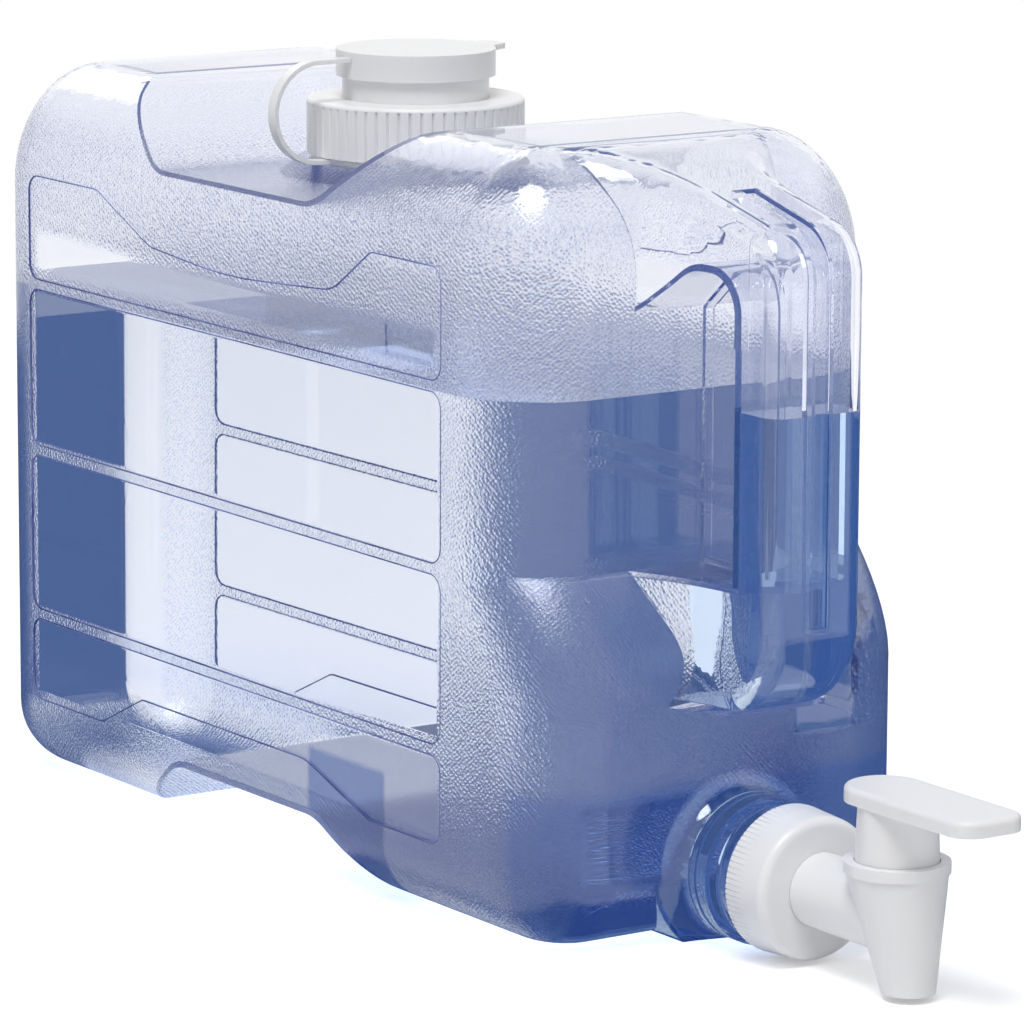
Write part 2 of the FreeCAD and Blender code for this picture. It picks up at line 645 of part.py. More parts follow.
def side_panels():
    """The four let-in panels of one side, as thin plates to be cut away at x = 0."""
    front = P.panel_front
    rear = P.panel_rear
    half = P.panel_band / 2
    turn = P.panel_corner
    soft = P.valley_bend
    plates = []
    upper = outline([
        (front, P.panel_line_one + half, turn),
        (front, P.panel_top, turn),
        (P.valley_front - P.panel_turn_front, P.panel_top, turn),
        (P.valley_front_foot - P.panel_dip_front, P.panel_dip + P.panel_sag, soft),
        (P.neck_place, P.panel_dip, 2 * P.body_width),
        (P.valley_rear_foot, P.panel_dip + P.panel_sag, soft),
        (P.valley_rear - P.panel_turn_rear, P.panel_top, turn),
        (rear, P.panel_top, turn),
        (rear, P.panel_line_one + half, turn),
    ], upright)
    plates.append(upper)
    for high, low in ((P.panel_line_one, P.panel_line_two), (P.panel_line_two, P.panel_line_three)):
        plates.append(outline([
            (front, low + half, turn),
            (front, high - half, turn),
            (rear, high - half, turn),
            (rear, low + half, turn),
        ], upright))
    lower = outline([
        (front, P.panel_foot, turn),
        (front, P.panel_line_three - half, turn),
        (rear, P.panel_line_three - half, turn),
        (rear, P.panel_foot, turn),
        (P.arch_rear + P.panel_step_rear, P.panel_foot, turn),
        (P.arch_rear_top + P.panel_step_back, P.panel_rise, turn),
        (P.arch_front_top + P.panel_step_roof, P.panel_rise, soft),
        (P.arch_front + P.panel_step_front, P.panel_foot, turn),
    ], upright)
    plates.append(lower)
    return [slab(w, V(P.panel_deep, 0, 0)) for w in plates]


def blown_form(inset):
    """The bottle's outer form, or its hollow when the inset is the wall."""
    form = upper_body(inset).fuse(lower_body(inset))
    form = form.fuse([hood(inset), handle_tube(inset), handle_root(inset)])
    form = form.cut(finger_gap(inset))
    form = form.cut(handle_groove(inset))
    form = form.cut(valley(inset))
    form = form.cut(arch(inset))
    return form


def bottle_shape():
    outer = blown_form(0)
    pad = Part.makeCone(P.pad_radius, P.pad_shoulder, P.pad_top - P.valley_floor,
                        V(0, P.neck_place, P.valley_floor))
    outer = outer.fuse([
        pad,
        filler_neck(P.neck_outside, P.valley_floor - P.wall, P.neck_top),
        spigot(),
        finger_seam(),
    ])
    half = P.body_width / 2
    for plate in side_panels():
        left = plate.copy()
        left.translate(V(-half, 0, 0))
        right = plate.copy()
        right.translate(V(half - P.panel_deep, 0, 0))
        outer = outer.cut([left, right])
    hollows = [
        blown_form(P.wall),
        spigot_hollow(),
        filler_neck(P.neck_bore, P.valley_floor - P.foot_roll, P.neck_top + P.wall),
    ]
    for hollow in hollows:
        outer = outer.cut(hollow)
    return outer.removeSplitter()


def blown_bottle():
    bottle = doc.addObject("Part::Feature", "bottle")
    bottle.Shape = bottle_shape()
    bottle.setExpression("Placement.Base.y", words(-BACK))
    return bottle


def bind(item, **sizes):
    """Bind properties of an object to sizes of the sheet."""
    for name, size in sizes.items():
        item.setExpression(name, words(size))


def seat(item, y, z, turn=None):
    """Place an object on the middle plane at a bound y and z."""
    if turn is not None:
        item.Placement = FreeCAD.Placement(V(0, 0, 0), turn)
    item.setExpression("Placement.Base.y", words(y))
    item.setExpression("Placement.Base.z", words(z))
    return item


TO_FRONT = FreeCAD.Rotation(V(1, 0, 0), 90)


def sketch_on(body, name, plane, corners):
    """Closed sketch through corners (a, b), each held to the origin by bound distances."""
    sketch = body.newObject("Sketcher::SketchObject", name)
    support = [f for f in body.Origin.OriginFeatures if f.Role == plane][0]
    sketch.AttachmentSupport = (support, [""])
    sketch.MapMode = "FlatFace"
    count = len(corners)
    for i in range(count):
        here = [number(c) for c in corners[i]]
        ahead = [number(c) for c in corners[(i + 1) % count]]
        sketch.addGeometry(Part.LineSegment(V(*here, 0), V(*ahead, 0)), False)
    for i in range(count):
        sketch.addConstraint(Sketcher.Constraint("Coincident", i, 2, (i + 1) % count, 1))
    for i, (a, b) in enumerate(corners):
        hold(sketch, i, "DistanceX", -2, a)
        hold(sketch, i, "DistanceY", -1, b)
    return sketch


def hold(sketch, line, kind, axis, size):
    """Hold the start of a line on an axis, or at a bound distance from the origin."""
    if number(size) == 0:
        sketch.addConstraint(Sketcher.Constraint("PointOnObject", line, 1, axis))
        return
    ends = (-1, 1, line, 1)
    if number(size) < 0:
        ends = (line, 1, -1, 1)
        size = -size
    index = sketch.addConstraint(Sketcher.Constraint(kind, *ends, number(size)))
    sketch.setExpression(f"Constraints[{index}]", words(size))


def round_sketch(body, name, plane, radius, height):
    """Sketch of one circle on the body's upright axis."""
    sketch = body.newObject("Sketcher::SketchObject", name)
    support = [f for f in body.Origin.OriginFeatures if f.Role == plane][0]
    sketch.AttachmentSupport = (support, [""])
    sketch.MapMode = "FlatFace"
    sketch.addGeometry(Part.Circle(V(0, number(height), 0), V(0, 0, 1), number(radius)), False)
    sketch.addConstraint(Sketcher.Constraint("PointOnObject", 0, 3, -2))
    rise = sketch.addConstraint(Sketcher.Constraint("DistanceY", -1, 1, 0, 3, number(height)))
    sketch.setExpression(f"Constraints[{rise}]", words(height))
    size = sketch.addConstraint(Sketcher.Constraint("Radius", 0, number(radius)))
    sketch.setExpression(f"Constraints[{size}]", words(radius))
    return sketch


def turned(label, profile):
    """Body made by revolving a profile of (radius, height) corners about its own Z."""
    body = doc.addObject("PartDesign::Body", label)
    body.Label = label
    sketch = sketch_on(body, f"{label}_profile", "XZ_Plane", profile)
    turn = body.newObject("PartDesign::Revolution", f"{label}_turn")
    turn.Profile = sketch
    turn.ReferenceAxis = (sketch, ["V_Axis"])
    turn.Angle = 360
    body.Tip = turn
    return body


def soften(body, name, radius, wanted):
    """Round the edges of the body that wanted picks out."""
    doc.recompute()
    tip = body.Tip
    picked = [f"Edge{i}" for i, edge in enumerate(tip.Shape.Edges, start=1) if wanted(edge)]
    fillet = body.newObject("PartDesign::Fillet", name)
    fillet.Base = (tip, picked)
    bind(fillet, Radius=radius)
    body.Tip = fillet


def notch_round(body, name, radius, depth, count, tall):
    """Cut V notches round a turned body, which leaves the ribs that fingers grip."""
    half = radius * (math.pi / number(count) * RIB_SHARE)
    clear = radius + depth
    sketch = sketch_on(body, f"{name}_outline", "XY_Plane", [
        (radius - depth, 0),
        (clear, half),
        (clear, -half),
    ])
    notch = body.newObject("PartDesign::Pocket", name)
    notch.Profile = sketch
    notch.Reversed = True
    bind(notch, Length=tall)
    ring = body.newObject("PartDesign::PolarPattern", f"{name}_ring")
    ring.Originals = [notch]
    axis = [f for f in body.Origin.OriginFeatures if f.Role == "Z_Axis"][0]
    ring.Axis = (axis, [""])
    ring.Angle = 360
    bind(ring, Occurrences=count)
    body.Tip = ring


def is_circle(edge, radius, height):
    """True for a level circle of this radius at this height."""
    box = edge.BoundBox
    flat = box.ZLength < CLOSE and abs(box.ZMin - number(height)) < CLOSE
    return flat and abs(box.XMax - number(radius)) < CLOSE and abs(box.XMin + number(radius)) < CLOSE


def filler_seal():
    """Flat gasket on the rim of the filler neck."""
    outer = D.neck_outside - D.wall
    body = turned("filler_seal", [
        (D.neck_bore, 0),
        (outer, 0),
        (outer, D.seal_thick),
        (D.neck_bore, D.seal_thick),
    ])
    return seat(body, D.neck_place - BACK, D.neck_top)


def pour_spout():
    """Short spout whose flange the screw ring holds down on the gasket."""
    body = turned("pour_spout", [
        (D.spout_bore, 0),
        (D.spout_flange, 0),
        (D.spout_flange, D.spout_plate),
        (D.spout_outside, D.spout_plate),
        (D.spout_outside, D.spout_tall),
        (D.spout_bore, D.spout_tall),
    ])
    return seat(body, D.neck_place - BACK, D.spout_low)


def screw_ring():
    """Ribbed ring that turns on the neck's thread and round the spout."""
    tall = D.ring_high - D.ring_low
    body = turned("screw_ring", [
        (D.neck_outside + D.running, 0),
        (D.ring_radius, 0),
        (D.ring_radius, tall),
        (D.spout_outside + D.running, tall),
        (D.spout_outside + D.running, tall - D.ring_plate),
        (D.neck_outside + D.running, tall - D.ring_plate),
    ])
    soften(body, "ring_top_edge", D.ring_edge, lambda e: is_circle(e, D.ring_radius, tall))
    notch_round(body, "ring_notch", D.ring_radius, D.ring_rib_deep, D.ring_ribs, tall - D.ring_edge)
    return seat(body, D.neck_place - BACK, D.ring_low)


def pour_lid():
    """Push-on lid with a skirt outside the spout, a plug ring inside it and a finger tab."""
    tall = D.lid_top - D.lid_low
    under = tall - D.lid_plate
    plug = D.spout_bore - D.running
    body = turned("pour_lid", [
        (0, under),
        (plug - D.lid_plate, under),
        (plug - D.lid_plate, under - D.lid_plug),
        (plug, under - D.lid_plug),
        (plug, under),
        (D.spout_outside + D.running, under),
        (D.spout_outside + D.running, 0),
        (D.lid_radius, 0),
        (D.lid_radius, tall),
        (0, tall),
    ])
    root = D.lid_radius - D.lid_plate
    tip = D.lid_radius + D.tab_long
    half = D.tab_wide * 0.5
    sketch = sketch_on(body, "tab_outline", "XY_Plane", [
        (root, half),
        (root, -half),
        (tip, -(half * 0.5)),
        (tip, half * 0.5),
    ])
    sketch.setExpression("AttachmentOffset.Base.z", words(tall - D.lid_plate))
    tab = body.newObject("PartDesign::Pad", "tab")
    tab.Profile = sketch
    bind(tab, Length=D.lid_plate)
    body.Tip = tab
    return seat(body, D.neck_place - BACK, D.lid_low)


def lid_strap():
    """Flexible strap from the lid's rim round to a collar under the screw ring."""
    strap_top = P.lid_top - P.lid_plate
    low = P.pad_top
    thick = P.strap_thick
    reach = P.strap_reach
    near = P.lid_radius + P.face_gap
    collar = P.neck_outside + P.collar_wide / 2
    turn = (strap_top - low) / 2 - P.face_gap
    profile = outline([
        (-near, strap_top, 0),
        (-reach, strap_top, turn),
        (-reach, low, turn),
        (-collar, low, 0),
        (-collar, low + thick, 0),
        (-reach + thick, low + thick, turn - thick),
        (-reach + thick, strap_top - thick, turn - thick),
        (-near, strap_top - thick, 0),
    ], facing(P.neck_place - P.strap_wide / 2))
    loop = slab(profile, V(0, P.strap_wide, 0))
    band = filler_neck(P.neck_outside + P.collar_wide, low, low + P.collar_thick)
    band = band.cut(filler_neck(P.neck_outside, low, low + P.collar_thick))
    strap = doc.addObject("Part::Feature", "lid_strap")
    strap.Shape = band.fuse(loop).removeSplitter()
    strap.setExpression("Placement.Base.y", words(-BACK))
    return strap


def tap_seal():
    """Flat gasket between the spigot and the tap's flange."""
    inner = D.spigot_bore - D.wall
    outer = D.arm_flange
    body = turned("tap_seal", [
        (inner, 0),
        (outer, 0),
        (outer, D.seal_thick),
        (inner, D.seal_thick),
    ])
    return seat(body, D.spigot_end - BACK, D.tap_axis, TO_FRONT)


def tap_nut():
    """Finely ribbed nut that draws the tap's flange against the spigot."""
    tall = D.nut_start - D.nut_end
    plate = D.spigot_end - D.seal_thick - D.arm_flange_thick - D.face_gap - D.nut_end
    body = turned("tap_nut", [
        (D.spigot_outside + D.running, 0),
        (D.nut_back, 0),
        (D.nut_front, tall),
        (D.arm_radius + D.running, tall),
        (D.arm_radius + D.running, tall - plate),
        (D.spigot_outside + D.running, tall - plate),
    ])
    soften(body, "nut_front_edge", D.nut_edge, lambda e: is_circle(e, D.nut_front, tall))
    notch_round(body, "nut_notch", D.nut_back, D.nut_rib_deep, D.nut_ribs, tall - D.nut_edge * 2)
    return seat(body, D.nut_start - BACK, D.tap_axis, TO_FRONT)


def cylinder(name, radius, tall, y, z, turn=None):
    item = doc.addObject("Part::Cylinder", name)
    bind(item, Radius=radius, Height=tall)
    return seat(item, y, z, turn)


def cone(name, low_radius, high_radius, tall, y, z):
    item = doc.addObject("Part::Cone", name)
    bind(item, Radius1=low_radius, Radius2=high_radius, Height=tall)
    return seat(item, y, z)


def oblique_cone(name, low, high):
    """Slanted cone between two level circles, each given as (radius, y, z)."""
    rings = []
    for end, (radius, y, z) in (("low", low), ("high", high)):
        ring = doc.addObject("Part::Circle", f"{name}_{end}")
        bind(ring, Radius=radius)
        rings.append(seat(ring, y, z))
    item = doc.addObject("Part::Loft", name)
    item.Sections = rings
    item.Solid = True
    item.Ruled = True
    return item


def tap_body():
    """Flange, arm and slanted barrel of the tap, with the passage for the water."""
    back = D.spigot_end - D.seal_thick
    rim_low = D.barrel_top - D.rim_tall
    seat_low = D.barrel_top - D.stem_seat
    outlet_high = D.outlet_low + D.outlet_long
    solids = doc.addObject("Part::MultiFuse", "tap_solids")
    solids.Shapes = [
        cylinder("tap_flange", D.arm_flange, D.arm_flange_thick, back, D.tap_axis, TO_FRONT),
        cylinder("tap_arm", D.arm_radius, back - D.barrel_place, back, D.tap_axis, TO_FRONT),
        oblique_cone(
            "barrel_cone",
            (D.outlet_outside, D.outlet_place, D.outlet_low),
            (D.barrel_rim - D.rim_step, D.barrel_place, rim_low),
        ),
        cylinder("barrel_rim_ring", D.barrel_rim, D.rim_tall, D.barrel_place, rim_low),
    ]
    hollows = doc.addObject("Part::MultiFuse", "tap_hollows")
    hollows.Shapes = [
        cylinder("arm_passage", D.arm_bore, back - D.barrel_place, back, D.tap_axis, TO_FRONT),
        cone("plug_seat", D.plug_narrow + D.running, D.plug_wide + D.running,
             seat_low - D.plug_low, D.barrel_place, D.plug_low),
        cylinder("stem_socket", D.stem_radius + D.running, D.stem_seat, D.barrel_place, seat_low),
        cylinder("outlet_passage", D.outlet_bore, D.outlet_long, D.outlet_place, D.outlet_low),
        oblique_cone(
            "outlet_bend",
            (D.outlet_bore, D.outlet_place, outlet_high),
            (D.plug_hollow, D.barrel_place, D.plug_low),
        ),
    ]
    body = doc.addObject("Part::Cut", "tap_body")
    body.Base = solids
    body.Tool = hollows
    body.setExpression("Placement.Base.y", words(-BACK))
    return body


def plug_at(height):
    """Radius of the tapered plug at one height."""
    taper = D.plug_taper / (D.barrel_top - D.stem_seat - D.plug_low)
    return D.plug_narrow + (height - D.plug_low) * taper


def tap_plug():
    """Tapered plug with its port, stem and lever, which turn as one moulding."""
    foot = D.plug_low + D.face_gap
    high = D.barrel_top - D.stem_seat + D.face_gap
    shoulder = high - foot
    under = D.lever_low - foot
    play = D.oring_thick + D.oring_groove
    groove_low = D.oring_height - play
    groove_high = D.oring_height + play
    inner = plug_at(D.oring_height) - D.oring_thick * 2
    hollow_top = groove_low - D.oring_thick - foot
    body = turned("tap_plug", [
        (D.plug_hollow, 0),
        (plug_at(foot), 0),
        (plug_at(groove_low), groove_low - foot),
        (inner, groove_low - foot),
        (inner, groove_high - foot),
        (plug_at(groove_high), groove_high - foot),
        (plug_at(high), shoulder),
        (D.stem_radius, shoulder),
        (D.stem_neck, under),
        (0, under),
        (0, hollow_top),
        (D.plug_hollow, hollow_top),
    ])
    port = body.newObject("PartDesign::Pocket", "port")
    port.Profile = round_sketch(body, "port_outline", "YZ_Plane", D.plug_port, D.tap_axis - foot)
    port.Midplane = True
    bind(port, Length=D.plug_wide * 2)
    body.Tip = port
    tip = D.lever_tip - D.barrel_place
    rear = D.lever_rear - D.barrel_place
    plan = sketch_on(body, "lever_outline", "XY_Plane", [
        (D.lever_half, rear),
        (-D.lever_half, rear),
        (-D.lever_half, tip),
        (D.lever_half, tip),
    ])
    plan.setExpression("AttachmentOffset.Base.z", words(under))
    lever = body.newObject("PartDesign::Pad", "lever")
    lever.Profile = plan
    bind(lever, Length=D.lever_high - D.lever_low)
    body.Tip = lever
    tall = D.lever_high - D.lever_low

    def upright_edge(edge, y):
        box = edge.BoundBox
        return abs(box.ZLength - tall.value) < CLOSE and abs(box.YMin - y.value) < CLOSE and box.XLength < CLOSE

    soften(body, "lever_rear_round", D.lever_half - D.face_gap, lambda e: upright_edge(e, rear))
    soften(body, "lever_front_round", D.lever_turn, lambda e: upright_edge(e, tip))
    top = (under + tall).value
    soften(body, "lever_top_edge", D.lever_edge, lambda e: e.BoundBox.ZMin > top - CLOSE)
    return seat(body, D.barrel_place - BACK, foot)


def plug_oring():
    """O-ring that seals the plug in the barrel, with an eight-sided section."""
    middle = plug_at(D.oring_height) - D.oring_thick
    turns = [math.tau * (i + 0.5) / ORING_SIDES for i in range(ORING_SIDES)]
    section = [(middle + D.oring_thick * math.cos(t), D.oring_thick * math.sin(t)) for t in turns]
    return seat(turned("plug_oring", section), D.barrel_place - BACK, D.oring_height)


def main():
    pieces = [
        blown_bottle(),
        filler_seal(),
        pour_spout(),
        screw_ring(),
        pour_lid(),
        lid_strap(),
        tap_seal(),
        tap_nut(),
        tap_body(),
        tap_plug(),
        plug_oring(),
    ]
    doc.recompute()
    for item in doc.Objects:
        if {"Invalid", "Error"} & set(item.State):
            raise RuntimeError(f"{item.Name} is {item.State}")
    os.makedirs("parts", exist_ok=True)
    for piece in pieces:
        shape = piece.Shape
        if shape.isNull() or not shape.isValid():
            raise RuntimeError(f"{piece.Label} has no valid shape")
        print(piece.Label, len(shape.Solids), round(shape.Volume), shape.BoundBox)
    for piece in pieces:
        piece.Shape.exportStep(f"parts/{piece.Label}.step")


main()
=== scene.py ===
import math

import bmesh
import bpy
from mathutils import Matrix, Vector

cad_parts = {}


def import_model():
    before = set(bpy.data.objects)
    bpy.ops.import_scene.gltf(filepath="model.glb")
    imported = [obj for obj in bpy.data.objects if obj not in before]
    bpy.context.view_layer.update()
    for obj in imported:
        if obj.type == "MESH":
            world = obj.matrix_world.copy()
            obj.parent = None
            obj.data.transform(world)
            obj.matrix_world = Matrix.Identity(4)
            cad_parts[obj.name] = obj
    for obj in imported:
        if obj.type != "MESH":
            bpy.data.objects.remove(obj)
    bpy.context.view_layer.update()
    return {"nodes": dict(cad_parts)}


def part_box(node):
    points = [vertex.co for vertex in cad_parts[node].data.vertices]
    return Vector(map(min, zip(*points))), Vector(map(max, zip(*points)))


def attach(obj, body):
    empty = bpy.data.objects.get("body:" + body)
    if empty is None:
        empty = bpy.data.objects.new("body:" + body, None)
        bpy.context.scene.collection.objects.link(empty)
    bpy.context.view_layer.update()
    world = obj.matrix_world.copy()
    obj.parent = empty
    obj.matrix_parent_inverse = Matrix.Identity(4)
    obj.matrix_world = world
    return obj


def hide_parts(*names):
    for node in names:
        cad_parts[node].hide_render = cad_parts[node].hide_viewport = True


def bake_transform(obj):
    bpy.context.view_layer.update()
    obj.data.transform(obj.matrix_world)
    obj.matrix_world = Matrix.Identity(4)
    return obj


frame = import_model()

# %% [markdown]
# # A water dispenser bottle, dressed for its picture
#
# The bottle is a clear blow-moulded jug that lies on its side like a suitcase: it has a hollow handle at
# the front, a filler cap on top and a turn tap at the foot. The shapes come from the measured model.
# This lesson gives them their finishes, fills the bottle with water, and sets up the studio.

MM = 0.001
scene = bpy.context.scene
nodes = frame["nodes"]
print("pieces that came:", sorted(nodes))

# %% [markdown]
# Most places on this object are easier to say from the recessed front wall than from the middle of the
# whole product. The tap's lever and the rear wall are the two ends of the long axis, so the wall's place
# follows from the bottle's own box. `at` turns millimetres from that wall into the scene's metres.

# %% Places are told from the front wall
REAR_WALL = 292.5
bottle_low, bottle_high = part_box("bottle")
wall_shift = bottle_high.y / MM - REAR_WALL


def at(x, y, z):
    return Vector((x, y + wall_shift, z)) * MM


print("front wall at y =", round(wall_shift, 2), "mm")

# %% [markdown]
# ## Camera
#
# The photograph was taken from the left of the tap, slightly above, with a very long lens: upright edges
# stay almost parallel. The place, the turn and the focal length below were fitted to the corners of the
# bottle, so the picture lines up with the photograph without any shift of the lens.

# %% Camera
CAMERA_PLACE = Vector((-0.95684, -1.39750, 0.43037))
CAMERA_AZIMUTH = -34.111
CAMERA_ELEVATION = 10.881
CAMERA_ROLL = 0.244
CAMERA_LENS = 209.43

turn = math.radians(CAMERA_AZIMUTH)
rise = math.radians(CAMERA_ELEVATION)
backward = Vector((
    math.sin(turn) * math.cos(rise),
    -math.cos(turn) * math.cos(rise),
    math.sin(rise),
))
camera = bpy.data.objects.new("camera", bpy.data.cameras.new("camera"))
scene.collection.objects.link(camera)
camera.data.lens = CAMERA_LENS
camera.data.sensor_width = 36
camera.data.clip_end = 30
facing = (-backward).to_track_quat("-Z", "Y").to_matrix().to_4x4()
camera.matrix_world = Matrix.Translation(CAMERA_PLACE) @ facing @ Matrix.Rotation(math.radians(CAMERA_ROLL), 4, "Z")
scene.camera = camera
print("camera stands", round(CAMERA_PLACE.length, 2), "m away")

# %% [markdown]
# ## Helpers for materials
#
# Every finish here is a Principled BSDF with something that changes over the surface feeding it. A few
# short helpers keep the node code readable: one makes a material with its BSDF, one adds a node and sets
# its plain values, and one links by socket name.

# %% Helpers for materials
def new_material(name):
    material = bpy.data.materials.new(name)
    material.use_nodes = True
    tree = material.node_tree
    shader = next(n for n in tree.nodes if n.type == "BSDF_PRINCIPLED")
    return material, tree, shader


def add(tree, kind, **values):
    """A node with its settings by attribute and its plain inputs by socket name."""
    node = tree.nodes.new(kind)
    for name, value in values.items():
        if hasattr(node, name):
            setattr(node, name, value)
        else:
            node.inputs[name.replace("_", " ")].default_value = value
    return node


def join(tree, source, output, target, socket):
    tree.links.new(source.outputs[output], target.inputs[socket])


def dress(piece, material):
    piece.data.materials.clear()
    piece.data.materials.append(material)


def show(piece):
    scene.collection.objects.link(piece)
    return piece


# %% [markdown]
# ## Soft box, a mask in space
#
# Parts of the bottle's wall are smooth and parts are pebbled. The smooth parts are windows with known
# places, so a mask can be worked out from Object coordinates: it is 1 inside a range of one axis and
# fades to 0 outside. One group does a range, and two ranges multiplied make a window.

# %% Group: a soft range along one axis
def soft_range_group():
    group = bpy.data.node_groups.new("soft_range", "ShaderNodeTree")
    face = group.interface
    face.new_socket("Value", in_out="INPUT", socket_type="NodeSocketFloat")
    face.new_socket("Low", in_out="INPUT", socket_type="NodeSocketFloat")
    face.new_socket("High", in_out="INPUT", socket_type="NodeSocketFloat")
    face.new_socket("Fade", in_out="INPUT", socket_type="NodeSocketFloat")
    face.new_socket("Mask", in_out="OUTPUT", socket_type="NodeSocketFloat")
    inside = group.nodes.new("NodeGroupInput")
    outside = group.nodes.new("NodeGroupOutput")

    def ramp(edge, sign):
        away = add(group, "ShaderNodeMath", operation="SUBTRACT")
        if sign > 0:
            join(group, inside, "Value", away, 0)
            join(group, inside, edge, away, 1)
        else:
            join(group, inside, edge, away, 0)
            join(group, inside, "Value", away, 1)
        scaled = add(group, "ShaderNodeMath", operation="DIVIDE", use_clamp=True)
        join(group, away, 0, scaled, 0)
        join(group, inside, "Fade", scaled, 1)
        return scaled

    both = add(group, "ShaderNodeMath", operation="MULTIPLY")
    join(group, ramp("Low", 1), 0, both, 0)
    join(group, ramp("High", -1), 0, both, 1)
    join(group, both, 0, outside, "Mask")
    return group


SOFT_RANGE = soft_range_group()


def window(tree, split, ranges, fade):
    """Mask of a box in space, given as {axis: (low, high)} in metres."""
    product = None
    for axis, (low, high) in ranges.items():
        part = add(tree, "ShaderNodeGroup", node_tree=SOFT_RANGE, Low=low, High=high, Fade=fade)
        join(tree, split, axis, part, "Value")
        if product is None:
            product = part
            continue
        both = add(tree, "ShaderNodeMath", operation="MULTIPLY")
        join(tree, product, 0, both, 0)
        join(tree, part, 0, both, 1)
        product = both
    return product


def either(tree, masks):
    """The larger of several masks."""
    total = masks[0]
    for mask in masks[1:]:
        larger = add(tree, "ShaderNodeMath", operation="MAXIMUM")
        join(tree, total, 0, larger, 0)
        join(tree, mask, 0, larger, 1)
        total = larger
    return total


# %% [markdown]
# ## Clear plastic of the bottle
#
# The wall is clear plastic, nearly colourless with a breath of violet blue that shows where you look along
# it. It is glass in the renderer's terms: full transmission with the plastic's refraction. Its colour
# comes from absorption inside the wall, so thick and grazing places are bluer, as on the real thing. Its
# base colour also carries painted shade: a faint blue over the part above the water, blue in the pits of
# the pebbles, and navy on the small steps round the side panels.
#
# The walls are pebbled like leather except for the let-in panels, the front windows, the handle and the
# tops of the shoulders. The pebbles are a fine cell pattern used as a bump, switched off inside those
# windows. Shadow rays pass through, because otherwise a clear bottle would cast a solid shadow.
# Rays that have bounced more than eight and a half times end on a painted dark-blue glow, in place of the light
# they would still gather.

# %% Clear plastic
PLASTIC_REFRACTION = 1.49
TRAPPED_AFTER = 8.5
PAINTED_GLOW_COLOR = (0.105, 0.165, 0.345, 1)
PEBBLE_SIZE = 1.05 * MM
PEBBLE_DEPTH = 0.16 * MM
PANEL_WALL = 63.3 * MM
STEP_FACING = 0.9


def let_light_through(material, tree, shader, tint):
    """Shadow rays see a plain tinted gap in place of the clear stuff; rays deeper than TRAPPED_AFTER end on a
    painted dark-blue glow.
    """
    output = next(n for n in tree.nodes if n.type == "OUTPUT_MATERIAL")
    path = add(tree, "ShaderNodeLightPath")
    gap = add(tree, "ShaderNodeBsdfTransparent", Color=tint)
    mix = add(tree, "ShaderNodeMixShader")
    join(tree, path, "Is Shadow Ray", mix, 0)
    tree.links.new(shader.outputs[0], mix.inputs[1])
    tree.links.new(gap.outputs[0], mix.inputs[2])
    trapped = add(tree, "ShaderNodeMath", operation="GREATER_THAN")
    join(tree, path, "Ray Depth", trapped, 0)
    trapped.inputs[1].default_value = TRAPPED_AFTER
    # Painted glow: a dark-blue emission stands in for the light of rays that end here.
    glow = add(tree, "ShaderNodeEmission", Color=PAINTED_GLOW_COLOR)
    ended = add(tree, "ShaderNodeMixShader")
    join(tree, trapped, 0, ended, 0)
    tree.links.new(mix.outputs[0], ended.inputs[1])
    tree.links.new(glow.outputs[0], ended.inputs[2])
    tree.links.new(ended.outputs[0], output.inputs["Surface"])
    material.cycles.emission_sampling = "NONE"


def absorb(tree, color, density):
    output = next(n for n in tree.nodes if n.type == "OUTPUT_MATERIAL")
    inside = add(tree, "ShaderNodeVolumeAbsorption", Color=color, Density=density)
    tree.links.new(inside.outputs[0], output.inputs["Volume"])


def y_of(value):
    return (value + wall_shift) * MM


def tint_layers(tree, shader, plain, layers):
    """The plain tint, then one tint over the other, each where its mask is."""
    under = add(tree, "ShaderNodeRGB")
    under.outputs[0].default_value = plain
    socket = under.outputs[0]
    for mask, color in layers:
        mix = add(tree, "ShaderNodeMix", data_type="RGBA")
        tree.links.new(socket, mix.inputs["A"])
        mix.inputs["B"].default_value = color
        join(tree, mask, 0, mix, "Factor")
        socket = mix.outputs["Result"]
    tree.links.new(socket, shader.inputs["Base Color"])


def painted_step_shade(tree, split):
    """Mask of the small upright faces round the let-in panels of the two sides, where navy shade is painted."""
    surface = add(tree, "ShaderNodeNewGeometry")
    facing = add(tree, "ShaderNodeSeparateXYZ")
    join(tree, surface, "True Normal", facing, 0)
    tilt = add(tree, "ShaderNodeMath", operation="ABSOLUTE")
    join(tree, facing, "X", tilt, 0)
    upright = add(tree, "ShaderNodeMath", operation="LESS_THAN")
    join(tree, tilt, 0, upright, 0)
    upright.inputs[1].default_value = STEP_FACING
    side = add(tree, "ShaderNodeMath", operation="ABSOLUTE")
    join(tree, split, "X", side, 0)
    outer = add(tree, "ShaderNodeMath", operation="GREATER_THAN")
    join(tree, side, 0, outer, 0)
    outer.inputs[1].default_value = PANEL_WALL
    there = window(tree, split, {"Y": (y_of(31), y_of(264)), "Z": (0.0215, 0.190)}, 0.5 * MM)
    both = add(tree, "ShaderNodeMath", operation="MULTIPLY")
    join(tree, upright, 0, both, 0)
    join(tree, outer, 0, both, 1)
    steps = add(tree, "ShaderNodeMath", operation="MULTIPLY")
    join(tree, both, 0, steps, 0)
    join(tree, there, 0, steps, 1)
    return steps


